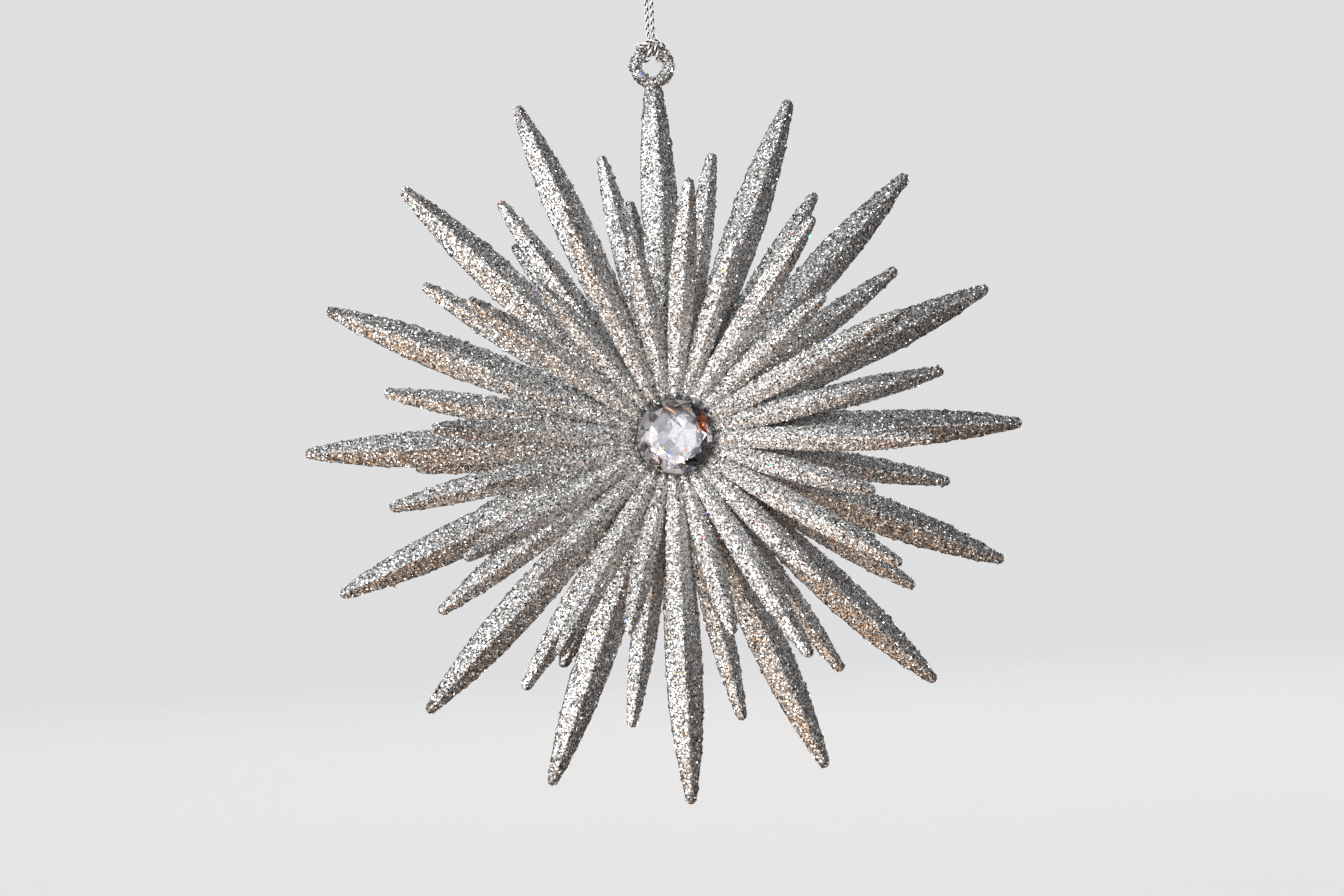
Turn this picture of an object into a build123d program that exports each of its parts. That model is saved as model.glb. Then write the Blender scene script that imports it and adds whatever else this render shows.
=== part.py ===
"""Hanging starburst ornament: glittered plastic rays round a faceted gem, on a doubled metallic cord.

Units are millimetres. +Z is up and the front faces -Y. The origin is the top of the hanging loop,
inside it, where a hook bears. A flat star of long and middling rays hangs upright below it, and a
burst of shorter rays, rising from the same centre, is glued to each of its faces.
"""
import math
import os

from build123d import *

# The whole star
STAR_RADIUS = 60.0  # centre to the tips of the long rays
MID_RADIUS = 47.8  # centre to the tips of the rays between them
FLAT_RAYS = 16  # long rays, and as many middling ones

# The two bursts
BURST_LONG_RADIUS = 41.1  # centre to a tip, measured flat
BURST_SHORT_RADIUS = 33.2
BURST_LONG_RISE = 17.5  # degrees that a ray rises out of the flat star
BURST_SHORT_RISE = 15.7
BURST_RAYS = 12  # long rays in a burst, and as many short ones
BURST_TURN = 3.6  # degrees that a burst is glued round from the hanging ray

# A ray is a spindle of diamond section
LONG_WIDTH = 6.15  # at its widest
MID_WIDTH = 4.35
BURST_LONG_WIDTH = 4.2
BURST_SHORT_WIDTH = 3.9
ROOT_RADIUS = 6.0  # where a ray leaves the hub
ROOT_WIDTH = 1.5
TIP_WIDTH = 1.4
TIP_END = 0.55  # share of the tip's width left at its blunt end
NECK_WIDTH = 2.9  # of the hanging ray where it runs into the eye
WIDEST_AT = 0.62  # share of a ray's reach where it is widest
THICKNESS = 0.62  # of a section, as a share of its width
STATIONS = (0.25, 0.38, 0.5, 0.62, 0.74, 0.86, 0.94, 0.985)

# Hubs, and the spigots that centre the bursts
HUB_RADIUS = 7.5
HUB_HALF = 1.0  # half the flat star's hub thickness
BURST_HUB_RADIUS = 6.9
BURST_HUB_THICKNESS = 2.1
GLUE = 0.1  # thickness of every film of glue
SPIGOT_RADIUS = 2.0
SPIGOT_HEIGHT = 1.1
SPIGOT_GAP = 0.05

# The gem, flat at the back, with its mirror foil
GEM_RADIUS = 6.05
GIRDLE = 0.55
CROWN = 2.3  # height above the girdle
TABLE_RADIUS = 3.5
FOIL = 0.08
SEAT_DEPTH = 0.5
SEAT_GAP = 0.12
CROWN_SIDES = 8
STAR_FACET_ANGLE = 27.0  # degrees from flat
MAIN_FACET_ANGLE = 40.0
GIRDLE_FACET_ANGLE = 47.0

# The hanging eye, moulded on the top ray
EYE_HEIGHT = 61.6  # star centre to the eye's centre
EYE_RADIUS = 2.65  # of the ring's own centreline
EYE_WIRE = 1.0  # radius of the ring's section

# The cord: one strand, doubled, hitched round the eye and knotted at the top
CORD = 0.8  # diameter
LEG_APART = 0.43  # each leg from the middle
LEG_LENGTH = 20.0
HITCH_RISE = 4.0  # eye's ring centreline to the legs' lower ends
KNOT_HEIGHT = 3.0
KNOT_RADIUS = 1.7
KNOT_END_RADIUS = 1.0
LOOP_HEIGHT = 14.0  # knot to the inside of the loop's top
TAIL_LENGTH = 3.0
RUN_SHARE = 0.45  # of the shorter run that an arc takes

KNOT_TOP = -LOOP_HEIGHT
KNOT_BOTTOM = KNOT_TOP - KNOT_HEIGHT
HITCH_TOP = KNOT_BOTTOM - LEG_LENGTH
EYE_TOP = HITCH_TOP - HITCH_RISE
STAR_CENTRE = EYE_TOP - EYE_RADIUS - EYE_HEIGHT

FRONT = Plane(origin=(0, 0, STAR_CENTRE), x_dir=(1, 0, 0), z_dir=(0, -1, 0))
BACK = Plane(origin=(0, 0, STAR_CENTRE), x_dir=(-1, 0, 0), z_dir=(0, 1, 0))

# Heights above the star's middle plane, on either face
BURST_HUB_FOOT = HUB_HALF + GLUE
BURST_HUB_FACE = BURST_HUB_FOOT + BURST_HUB_THICKNESS
SEAT_FLOOR = BURST_HUB_FACE - SEAT_DEPTH
FOIL_FOOT = SEAT_FLOOR + GLUE
GEM_FOOT = FOIL_FOOT + FOIL
GIRDLE_TOP = GEM_FOOT + GIRDLE

# The hitch goes down in front of the eye's ring, through the eye, up behind it, forwards over the
# top and across in front of its own legs. Its points are measured from the ring's centreline.
HITCH_ROUTE = [
    (-LEG_APART, 0, HITCH_RISE),
    (-LEG_APART, 0, 2.75),
    (-LEG_APART, -1.45, 1.3),
    (-0.5, -1.65, -0.7),
    (-0.5, -0.2, -1.95),
    (-0.7, 1.3, -1.45),
    (-1.2, 1.9, 0.1),
    (-1.85, 1.2, 1.75),
    (-2.0, -0.5, 2.2),
    (-1.05, -1.8, 2.4),
    (0.5, -1.9, 2.35),
    (1.75, -0.85, 2.3),
    (1.75, 0.95, 1.8),
    (1.1, 1.9, 0.2),
    (0.7, 1.35, -1.4),
    (0.5, -0.15, -1.95),
    (0.5, -1.65, -0.7),
    (LEG_APART, -1.45, 1.3),
    (LEG_APART, 0, 2.75),
    (LEG_APART, 0, HITCH_RISE),
]

# The loop leaves the knot's top, goes round the hook and comes back, pulled tight by the weight.
LOOP_ROUTE = [
    (-LEG_APART, 0, KNOT_TOP),
    (-LEG_APART, 0, -12.2),
    (-1.05, 0, -8.8),
    (-1.75, 0, -5.3),
    (-2.1, 0, -2.2),
    (-1.0, 0, CORD / 2),
    (1.0, 0, CORD / 2),
    (2.1, 0, -2.2),
    (1.75, 0, -5.3),
    (1.05, 0, -8.8),
    (LEG_APART, 0, -12.2),
    (LEG_APART, 0, KNOT_TOP),
]


def width_at(share, root_share, widest, tip):
    """A ray's width at a share of its reach: one parabola inside its widest place, one outside."""
    if share < WIDEST_AT:
        narrow, away = ROOT_WIDTH, (WIDEST_AT - share) / (WIDEST_AT - root_share)
    else:
        narrow, away = tip, (share - WIDEST_AT) / (1 - WIDEST_AT)
    return narrow + (widest - narrow) * (1 - away**2)


def ray(reach, widest, rise=0.0, tip=TIP_WIDTH):
    """One ray, lying along +Y from the centre and rising towards +Z."""
    slope = math.radians(rise)
    outward = Vector(0, math.cos(slope), math.sin(slope))
    length = reach / math.cos(slope)
    root_share = ROOT_RADIUS / length
    shares = [root_share] + [share for share in STATIONS if share > root_share + 0.03]
    widths = [width_at(share, root_share, widest, tip) for share in shares]
    shares.append(1.0)
    widths.append(tip * TIP_END)
    with BuildPart() as spindle:
        for share, width in zip(shares, widths):
            half = width / 2
            ridge = half * THICKNESS
            with BuildSketch(Plane(outward * length * share, x_dir=(1, 0, 0), z_dir=outward)):
                Polygon((half, 0), (0, ridge), (-half, 0), (0, -ridge))
        loft(ruled=True)
    return spindle.part


def rounded(points):
    """The tube's path: straight runs joined by arcs as large as the two runs at each corner allow."""
    radii = []
    for before, corner, after in zip(points, points[1:], points[2:]):
        inward = Vector(*corner) - Vector(*before)
        outward = Vector(*after) - Vector(*corner)
        half_turn = math.radians(inward.get_angle(outward) / 2)
        radii.append(RUN_SHARE * min(inward.length, outward.length) / math.tan(half_turn))
    print("bend radii", [round(radius, 2) for radius in radii])
    with BuildLine() as path:
        FilletPolyline(*points, radius=radii)
    return path.wire()


def tube(points, label):
    """The cord's round section swept along a route."""
    path = rounded(points)
    start = Plane(origin=path @ 0, z_dir=path % 0)
    with BuildPart() as strand:
        with BuildSketch(start):
            Circle(CORD / 2)
        sweep(path=path)
    straight = math.pi * (CORD / 2) ** 2 * path.length
    print(label, "volume", round(strand.part.volume, 3), "section times length", round(straight, 3))
    return strand.part


def burst(face, label):
    """A hub with long and short rays, all rising away from the flat star; both faces have the same one."""
    long_ray = ray(BURST_LONG_RADIUS, BURST_LONG_WIDTH, BURST_LONG_RISE)
    short_ray = ray(BURST_SHORT_RADIUS, BURST_SHORT_WIDTH, BURST_SHORT_RISE)
    pitch = 360 / BURST_RAYS
    with BuildPart(face) as piece:
        with BuildSketch(face.offset(BURST_HUB_FOOT)):
            Circle(BURST_HUB_RADIUS)
        extrude(amount=BURST_HUB_THICKNESS)
        with PolarLocations(0, BURST_RAYS, start_angle=-BURST_TURN):
            add(long_ray)
        with PolarLocations(0, BURST_RAYS, start_angle=-BURST_TURN - pitch / 2):
            add(short_ray)
        with BuildSketch(face.offset(SEAT_FLOOR)):
            Circle(GEM_RADIUS + SEAT_GAP)
        extrude(amount=GEM_RADIUS, mode=Mode.SUBTRACT)
        with BuildSketch(face.offset(BURST_HUB_FOOT)):
            Circle(SPIGOT_RADIUS + SPIGOT_GAP)
        extrude(amount=SPIGOT_HEIGHT, mode=Mode.SUBTRACT)
    piece.part.label = label
    return piece.part


def gem(face, label):
    """A round stone, flat behind, whose crown is cut as a brilliant: table, star, main and girdle facets."""
    cuts = [
        (STAR_FACET_ANGLE, TABLE_RADIUS, GIRDLE_TOP + CROWN, CROWN_SIDES, 0.5),
        (MAIN_FACET_ANGLE, GEM_RADIUS, GIRDLE_TOP + 0.15, CROWN_SIDES, 0.0),
        (GIRDLE_FACET_ANGLE, GEM_RADIUS, GIRDLE_TOP, 2 * CROWN_SIDES, 0.5),
    ]
    with BuildPart(face) as stone:
        with BuildSketch(face.offset(GEM_FOOT)):
            Circle(GEM_RADIUS)
        extrude(amount=GIRDLE + CROWN)
        for angle, radius, height, count, shift in cuts:
            tilt = math.radians(angle)
            for index in range(count):
                turn = 2 * math.pi * (index + shift) / count
                spoke = Vector(math.cos(turn), math.sin(turn), 0)
                normal = spoke * math.sin(tilt) + Vector(0, 0, math.cos(tilt))
                local = Plane(origin=spoke * radius + Vector(0, 0, height), z_dir=normal)
                split(bisect_by=Plane(face.location * local.location), keep=Keep.BOTTOM)
    stone.part.label = label
    return stone.part


def disc(face, foot, thickness, radius, hole, label):
    """A thin round film: foil behind a gem, or glue between two pieces."""
    with BuildPart(face) as film:
        with BuildSketch(face.offset(foot)):
            Circle(radius)
            if hole:
                Circle(hole, mode=Mode.SUBTRACT)
        extrude(amount=thickness)
    film.part.label = label
    return film.part


long_ray = ray(STAR_RADIUS, LONG_WIDTH)
hanging_ray = ray(EYE_HEIGHT - EYE_RADIUS, LONG_WIDTH, tip=NECK_WIDTH)
mid_ray = ray(MID_RADIUS, MID_WIDTH)
flat_pitch = 360 / FLAT_RAYS

# The flat star: hub, spigots, rays, and the eye on the ray that points up
with BuildPart(FRONT) as centre_star:
    with BuildSketch(FRONT.offset(-HUB_HALF)):
        Circle(HUB_RADIUS)
    extrude(amount=2 * HUB_HALF)
    with BuildSketch(FRONT):
        Circle(SPIGOT_RADIUS)
    extrude(amount=HUB_HALF + SPIGOT_HEIGHT - GLUE, both=True)
    add(hanging_ray)
    with PolarLocations(0, FLAT_RAYS - 1, flat_pitch, 360 - 2 * flat_pitch, endpoint=True):
        add(long_ray)
    with PolarLocations(0, FLAT_RAYS, start_angle=flat_pitch / 2):
        add(mid_ray)
    with Locations((0, EYE_HEIGHT, 0)):
        Torus(EYE_RADIUS, EYE_WIRE)
centre_star.part.label = "centre_star"

# The cord's two legs and its top loop
with BuildPart() as hanging_cord:
    with BuildSketch(Plane.XY.offset(HITCH_TOP)):
        with Locations((-LEG_APART, 0), (LEG_APART, 0)):
            Circle(CORD / 2)
    extrude(amount=LEG_LENGTH)
    add(tube(LOOP_ROUTE, "loop"))
hanging_cord.part.label = "hanging_cord"

# The hitch round the eye, which turns with the star when the cord twists
with BuildPart() as ring_hitch:
    add(tube([(x, y, EYE_TOP + z) for x, y, z in HITCH_ROUTE], "hitch"))
ring_hitch.part.label = "ring_hitch"

# The knot that binds the legs and the loop, with its two cut tails
with BuildPart() as cord_knot:
    with BuildSketch(Plane.XZ):
        with BuildLine():
            belly = (KNOT_RADIUS, KNOT_BOTTOM + KNOT_HEIGHT / 2)
            ThreePointArc((KNOT_END_RADIUS, KNOT_BOTTOM), belly, (KNOT_END_RADIUS, KNOT_TOP))
            Polyline(
                (KNOT_END_RADIUS, KNOT_TOP),
                (0, KNOT_TOP),
                (0, KNOT_BOTTOM),
                (KNOT_END_RADIUS, KNOT_BOTTOM),
            )
        make_face()
    revolve(axis=Axis.Z)
    for side in (-1, 1):
        root = Vector(0, 0, KNOT_BOTTOM + KNOT_HEIGHT / 2)
        tail = Plane(origin=root, z_dir=(0.9 * side, 0.25 * side, 0.4))
        with BuildSketch(tail):
            Circle(CORD / 2)
        extrude(amount=KNOT_RADIUS + TAIL_LENGTH)
cord_knot.part.label = "cord_knot"

pieces = [centre_star.part, hanging_cord.part, ring_hitch.part, cord_knot.part]
for face, side in ((FRONT, "front"), (BACK, "back")):
    pieces += [
        burst(face, f"{side}_burst"),
        gem(face, f"{side}_gem"),
        disc(face, FOIL_FOOT, FOIL, GEM_RADIUS - 0.1, 0, f"{side}_foil"),
        disc(face, SEAT_FLOOR, GLUE, GEM_RADIUS - 0.5, 0, f"{side}_gem_glue"),
        disc(face, HUB_HALF, GLUE, HUB_RADIUS - 1.5, SPIGOT_RADIUS + 0.3, f"{side}_hub_glue"),
    ]

os.makedirs("parts", exist_ok=True)
for piece in pieces:
    export_step(piece, f"parts/{piece.label}.step")
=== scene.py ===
"""Looks of the hanging starburst ornament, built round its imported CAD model.

Metres, +Z up, the front faces -Y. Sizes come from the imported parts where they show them, and are
otherwise the real ones, written in millimetres times MM.
"""
import math

import bpy
import numpy as np
from mathutils import Matrix, Vector
from mathutils.geometry import delaunay_2d_cdt


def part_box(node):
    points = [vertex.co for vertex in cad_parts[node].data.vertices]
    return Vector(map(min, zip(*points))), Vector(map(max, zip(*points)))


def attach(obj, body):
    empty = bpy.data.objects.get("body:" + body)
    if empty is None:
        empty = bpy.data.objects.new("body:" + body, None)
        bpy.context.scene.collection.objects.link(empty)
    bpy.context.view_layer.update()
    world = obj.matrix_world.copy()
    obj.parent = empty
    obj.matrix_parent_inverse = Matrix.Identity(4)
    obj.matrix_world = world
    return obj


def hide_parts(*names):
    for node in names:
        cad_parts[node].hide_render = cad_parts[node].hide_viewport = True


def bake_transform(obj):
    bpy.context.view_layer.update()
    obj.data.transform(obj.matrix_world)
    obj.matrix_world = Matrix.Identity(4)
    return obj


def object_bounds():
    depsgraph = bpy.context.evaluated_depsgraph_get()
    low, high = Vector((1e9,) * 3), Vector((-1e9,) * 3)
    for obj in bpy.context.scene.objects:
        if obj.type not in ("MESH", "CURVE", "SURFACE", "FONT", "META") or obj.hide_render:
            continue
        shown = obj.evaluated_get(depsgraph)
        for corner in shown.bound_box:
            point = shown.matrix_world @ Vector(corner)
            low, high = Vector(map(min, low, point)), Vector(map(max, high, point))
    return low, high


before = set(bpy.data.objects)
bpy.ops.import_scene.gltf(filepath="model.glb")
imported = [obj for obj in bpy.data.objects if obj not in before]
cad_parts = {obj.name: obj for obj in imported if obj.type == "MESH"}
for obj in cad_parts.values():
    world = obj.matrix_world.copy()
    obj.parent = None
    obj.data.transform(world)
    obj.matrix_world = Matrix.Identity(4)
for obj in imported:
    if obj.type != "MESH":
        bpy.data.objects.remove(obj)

cad_low, cad_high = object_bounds()

MM = 0.001
RNG = np.random.default_rng(20261116)

# ---------------------------------------------------------------- places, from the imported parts
star_low, star_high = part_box("centre_star")
burst_low, burst_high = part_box("front_burst")
gem_low, gem_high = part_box("front_gem")
foil_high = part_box("front_foil")[1]

STAR_RADIUS = (star_high.x - star_low.x) / 2
CENTRE = Vector((0, 0, star_low.z + STAR_RADIUS))
BURST_RADIUS = (burst_high.x - burst_low.x) / 2
GEM_RADIUS = (gem_high.x - gem_low.x) / 2
GEM_FOOT = -gem_high.y  # heights are measured from the star's middle plane, on either face
FOIL_FOOT = -foil_high.y
EYE_OUTER = star_high.z - CENTRE.z

# ---------------------------------------------------------------- sizes of the moulding
LONG_WIDTH = 6.15 * MM
MID_REACH = 47.8 * MM
MID_WIDTH = 4.35 * MM
BURST_LONG_WIDTH = 4.2 * MM
BURST_SHORT_REACH = 33.2 * MM
BURST_SHORT_WIDTH = 3.9 * MM
BURST_LONG_RISE = 17.5  # degrees towards the viewer
BURST_SHORT_RISE = 15.7
BURST_TURN = 3.6  # degrees that the first long ray leans from straight up
FLAT_RAYS = 16
BURST_RAYS = 12
ROOT_RADIUS = 5.0 * MM
ROOT_WIDTH = 1.5 * MM
TIP_WIDTH = 1.4 * MM
WIDEST_AT = 0.62  # of the reach
THICKNESS = 0.62  # of the width
RIDGE_POWER = 1.14  # 1 is a sharp diamond section, 2 an ellipse
COAT = 0.01 * MM  # the varnish under the glitter
HUB_RADIUS = 7.5 * MM
HUB_HALF = 1.0 * MM
BURST_HUB_RADIUS = 6.9 * MM
BURST_HUB_FOOT = 1.1 * MM
BURST_HUB_FACE = 2.35 * MM
SEAT_GAP = 0.22 * MM
AXIS_HOLE = 0.2 * MM  # a turned shape is closed this far from its axis
EYE_WIRE = 1.0 * MM
EYE_RADIUS = 2.65 * MM
EYE_HEIGHT = EYE_OUTER - EYE_RADIUS - EYE_WIRE
COATED_NECK = 2.55 * MM  # the neck and the eye under their grains
COATED_EYE_RADIUS = 2.74 * MM
COATED_EYE_WIRE = 0.97 * MM

# ---------------------------------------------------------------- the cord, as in the CAD source
LEG_APART = 0.43 * MM
KNOT_TOP = -14.0 * MM
KNOT_BOTTOM = -17.0 * MM
EYE_TOP = -41.0 * MM
PLY_PITCH = 2.7 * MM
LEG_POINTS = [(-0.43, 0, -17.0), (-0.43, 0, -20.0), (-0.43, 0, -28.0), (-0.43, 0, -34.0)]
HITCH_POINTS = [  # from the middle of the eye's wire, at its top
    (-0.43, 0, 4), (-0.43, -0.05, 2.9), (-0.43, -0.85, 1.8), (-0.45, -1.6, 0.6), (-0.55, -1.65, -0.7),
    (-0.7, -0.9, -1.55), (-0.9, 0.5, -1.8), (-1.3, 1.75, -1.2), (-1.9, 1.85, -0.2), (-2.3, 1.1, 0.6),
    (-2.3, -0.2, 0.8), (-2.0, -1.4, 0.4), (-1.0, -2.15, 0.9), (0.1, -2.4, 1.15), (1.1, -2.1, 0.85),
    (1.9, -1.3, 0.35), (2.2, -0.1, 0.75), (2.2, 1.1, 0.55), (1.85, 1.85, -0.2), (1.25, 1.75, -1.2),
    (0.9, 0.5, -1.8), (0.7, -0.9, -1.55), (0.6, -1.65, -0.7), (0.45, -1.6, 0.6), (0.43, -0.85, 1.8),
    (0.43, -0.05, 2.9), (0.43, 0, 4),
]
LOOP_POINTS = [
    (0.43, 0, -14.0), (0.43, 0, -12.2), (1.05, 0, -8.8), (1.75, 0, -5.3), (2.1, 0, -2.2),
    (1.0, 0, 0.4), (-1.0, 0, 0.4), (-2.1, 0, -2.2), (-1.75, 0, -5.3), (-1.05, 0, -8.8),
    (-0.43, 0, -12.2), (-0.43, 0, -14.0),
]

# ---------------------------------------------------------------- the camera, at the photograph's angle
CAMERA_AZIMUTH = -11.02
CAMERA_ELEVATION = -2.58
CAMERA_ROLL = -3.05
CAMERA_DISTANCE = 492.7 * MM
CAMERA_BELOW = 1.66 * MM  # how far below the star's centre it aims
CAMERA_LENS = 80.36  # millimetres, on a sensor this wide
CAMERA_SENSOR = 36
CAMERA_NEAR = 0.01


def aim_camera():
    """The camera stands left of the front and a little below, and is rolled slightly."""
    turn = (
        Matrix.Rotation(math.radians(CAMERA_AZIMUTH), 3, "Z")
        @ Matrix.Rotation(math.radians(90 - CAMERA_ELEVATION), 3, "X")
        @ Matrix.Rotation(math.radians(CAMERA_ROLL), 3, "Z")
    )
    place = CENTRE + turn @ Vector((0, -CAMERA_BELOW, CAMERA_DISTANCE))
    lens = bpy.data.cameras.new("camera")
    lens.lens, lens.sensor_width, lens.clip_start = CAMERA_LENS, CAMERA_SENSOR, CAMERA_NEAR
    camera = bpy.data.objects.new("camera", lens)
    camera.matrix_world = Matrix.Translation(place) @ turn.to_4x4()
    bpy.context.scene.collection.objects.link(camera)
    bpy.context.scene.camera = camera


# ---------------------------------------------------------------- helpers for meshes and nodes
class Solid:
    """Points, faces and a material number for each face, gathered into one mesh."""

    def __init__(self):
        self.points, self.faces, self.kinds, self.count = [], [], [], 0

    def add(self, points, faces, kind=0):
        points = np.asarray(points, float).reshape(-1, 3)
        self.points.append(points)
        self.faces += [tuple(int(i) + self.count for i in face) for face in faces]
        self.kinds += [kind] * len(faces)
        self.count += len(points)

    def piece(self, name, materials, smooth=True):
        mesh = bpy.data.meshes.new(name)
        mesh.from_pydata(np.concatenate(self.points).tolist(), [], self.faces)
        mesh.polygons.foreach_set("material_index", self.kinds)
        mesh.polygons.foreach_set("use_smooth", [smooth] * len(self.faces))
        mesh.update()
        for material in materials:
            mesh.materials.append(material)
        made = bpy.data.objects.new(name, mesh)
        bpy.context.scene.collection.objects.link(made)
        return made


def skin(rings, around):
    """Faces that join rings of points, with one face closing each end."""
    faces = []
    for ring in range(rings - 1):
        for k in range(around):
            a, b = ring * around + k, ring * around + (k + 1) % around
            faces.append((a, b, b + around, a + around))
    faces.append(tuple(range(around - 1, -1, -1)))
    faces.append(tuple(range((rings - 1) * around, rings * around)))
    return faces


class Nodes:
    """A material's node tree, with a short way to add and join nodes."""

    def __init__(self, name):
        self.material = bpy.data.materials.new(name)
        self.material.use_nodes = True
        self.tree = self.material.node_tree
        self.shader = self.tree.nodes["Principled BSDF"]

    @classmethod
    def of_tree(cls, tree):
        made = cls.__new__(cls)
        made.tree = tree
        return made

    def node(self, kind, **settings):
        made = self.tree.nodes.new("ShaderNode" + kind)
        for name, value in settings.items():
            setattr(made, name, value)
        return made

    def join(self, output, target):
        self.tree.links.new(output, target)

    def math(self, operation, first, second=None):
        made = self.node("Math", operation=operation)
        for socket, value in zip(made.inputs, (first, second)):
            self.fill(socket, value)
        return made.outputs[0]

    def vector(self, operation, first, second=None):
        made = self.node("VectorMath", operation=operation)
        for socket, value in zip(made.inputs, (first, second)):
            self.fill(socket, value)
        return made.outputs[0]

    def fill(self, socket, value):
        if value is None:
            return
        if isinstance(value, bpy.types.NodeSocket):
            self.join(value, socket)
        else:
            socket.default_value = value

    def scale(self, vector, factor):
        made = self.node("VectorMath", operation="SCALE")
        self.fill(made.inputs[0], vector)
        self.fill(made.inputs["Scale"], factor)
        return made.outputs[0]

    def distance(self, place, point):
        made = self.node("VectorMath", operation="DISTANCE")
        self.join(place, made.inputs[0])
        made.inputs[1].default_value = point
        return made.outputs["Value"]

    def remap(self, value, start=0.0, stop=1.0, low=0.0, high=1.0, smooth=False):
        """Takes start to low and stop to high, and stays there beyond them."""
        made = self.node("MapRange", interpolation_type="SMOOTHSTEP" if smooth else "LINEAR")
        self.join(value, made.inputs["Value"])
        for socket, number in zip(("From Min", "From Max", "To Min", "To Max"), (start, stop, low, high)):
            made.inputs[socket].default_value = number
        return made.outputs[0]

    def blend(self, factor, first, second):
        """The colour that is first at factor 0 and second at factor 1."""
        made = self.node("Mix", data_type="RGBA")
        self.join(factor, made.inputs["Factor"])
        colours = (socket for socket in made.inputs if socket.type == "RGBA")
        for socket, value in zip(colours, (first, second)):
            self.fill(socket, value)
        return next(out for out in made.outputs if out.type == "RGBA")

    def surface(self, name, value):
        """Joins an output to one of the shader's own sockets."""
        self.join(value, self.shader.inputs[name])

    def ramp(self, value, stops, mode="LINEAR"):
        """The colour at a value, from (position, colour) stops."""
        made = self.node("ValToRGB")
        made.color_ramp.interpolation = mode
        elements = made.color_ramp.elements
        while len(elements) < len(stops):
            elements.new(1.0)
        for element, (position, colour) in zip(elements, stops):
            element.position, element.color = position, (*colour, 1)
        self.join(value, made.inputs[0])
        return made.outputs[0]


def grey(value):
    return (value, value, value)


def greys(*stops):
    """Stops of a ramp from one grey to the next."""
    return [(position, grey(value)) for position, value in stops]


# ---------------------------------------------------------------- materials
FLAKE = 0.22 * MM
FLAKE_TILT, FLAKE_TILT_POWER = 1.6, 1.8  # how far the loosest flakes tilt, and how few of them do
DUSTED_TO, BARE_FROM = 12 * MM, 44 * MM  # from the middle: matt glitter inside, mirror flakes outside
TIP_FROM, TIP_TO = 52 * MM, 62 * MM
PAINTED_SHADOW_FROM, PAINTED_SHADOW_TO = 6.7 * MM, 8.4 * MM  # painted shadow: the coat's colour is darkened in a margin round the stone, where the stone casts shade
PAINTED_SHADOW_FACTOR = 0.42
# each flake's own shade of silver, except the near-black cells at the lowest stops, which are painted
# shade of the gaps between flakes
BARE_SILVER_AND_GAP_SHADE = greys((0, 0.02), (0.06, 0.05), (0.13, 0.27), (0.6, 0.43), (0.85, 0.62), (0.93, 0.98))
DUSTED_SILVER_AND_GAP_SHADE = greys((0, 0.015), (0.14, 0.08), (0.25, 0.57), (0.6, 0.75), (1, 0.93))
FLAKE_ROUGHNESS = greys((0, 0.12), (0.28, 0.16), (0.34, 0.32), (1, 0.54))


def glitter_coat():
    """Packed glitter: every small cell is a flake with its own tilt, shine and shade of silver. The
    darkest cells are painted shade of the gaps between flakes, and the colour is darkened round the stone
    as a painted shadow.
    """
    made = Nodes("silver_glitter_plastic")
    place = made.node("TexCoord").outputs["Object"]
    cells = made.node("TexVoronoi", voronoi_dimensions="3D", feature="F1")
    made.join(place, cells.inputs["Vector"])
    cells.inputs["Scale"].default_value = 1 / FLAKE
    more = made.node("TexWhiteNoise", noise_dimensions="3D")
    made.join(cells.outputs["Position"], more.inputs["Vector"])
    chance = made.node("SeparateColor")
    made.join(more.outputs["Color"], chance.inputs[0])
    away = made.distance(place, CENTRE)
    outer = made.remap(away, DUSTED_TO, BARE_FROM, smooth=True)
    loose = made.math("POWER", chance.outputs[0], FLAKE_TILT_POWER)
    flat = made.remap(outer, low=0.95, high=0.3)
    tip = made.remap(away, TIP_FROM, TIP_TO, 0.0, 0.6, smooth=True)
    spread = made.math("ADD", made.math("MULTIPLY", loose, FLAKE_TILT), made.math("ADD", flat, tip))
    tilt = made.scale(made.vector("SUBTRACT", cells.outputs["Color"], grey(0.5)), spread)
    tilted = made.vector("ADD", made.node("NewGeometry").outputs["Normal"], tilt)
    made.surface("Normal", made.vector("NORMALIZE", tilted))
    # the flakes' shades of silver, with painted gap shade in the darkest cells
    dusted, bare = made.ramp(chance.outputs[1], DUSTED_SILVER_AND_GAP_SHADE), made.ramp(chance.outputs[1], BARE_SILVER_AND_GAP_SHADE)
    # painted shadow: the base colour darkens towards the stone, standing in for the stone's shade
    shade = made.remap(away, PAINTED_SHADOW_FROM, PAINTED_SHADOW_TO, PAINTED_SHADOW_FACTOR, 1.0, smooth=True)
    made.surface("Base Color", made.scale(made.blend(outer, dusted, bare), shade))
    made.surface("Roughness", made.ramp(chance.outputs[2], FLAKE_ROUGHNESS))
    made.surface("Metallic", made.remap(outer, low=0.6, high=0.92))
    return made.material


def loose_grains():
    """Grains that stand proud of the coat: some white, the others dull silver."""
    made = Nodes("glitter_grains")
    chance = made.node("NewGeometry").outputs["Random Per Island"]
    made.surface("Base Color", made.ramp(chance, greys((0, 1.0), (0.20, 0.95), (0.24, 0.55), (1, 0.30))))
    made.surface("Metallic", made.ramp(chance, greys((0.20, 0.3), (0.24, 1.0))))
    made.shader.inputs["Roughness"].default_value = 0.2
    return made.material


FLAKE_COLOURS = [
    (0.95, 0.52, 0.20), (0.30, 0.42, 0.95), (0.85, 0.12, 0.10), (0.92, 0.74, 0.22),
    (0.15, 0.70, 0.48), (0.90, 0.42, 0.72), (0.55, 0.85, 0.95),
]


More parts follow.
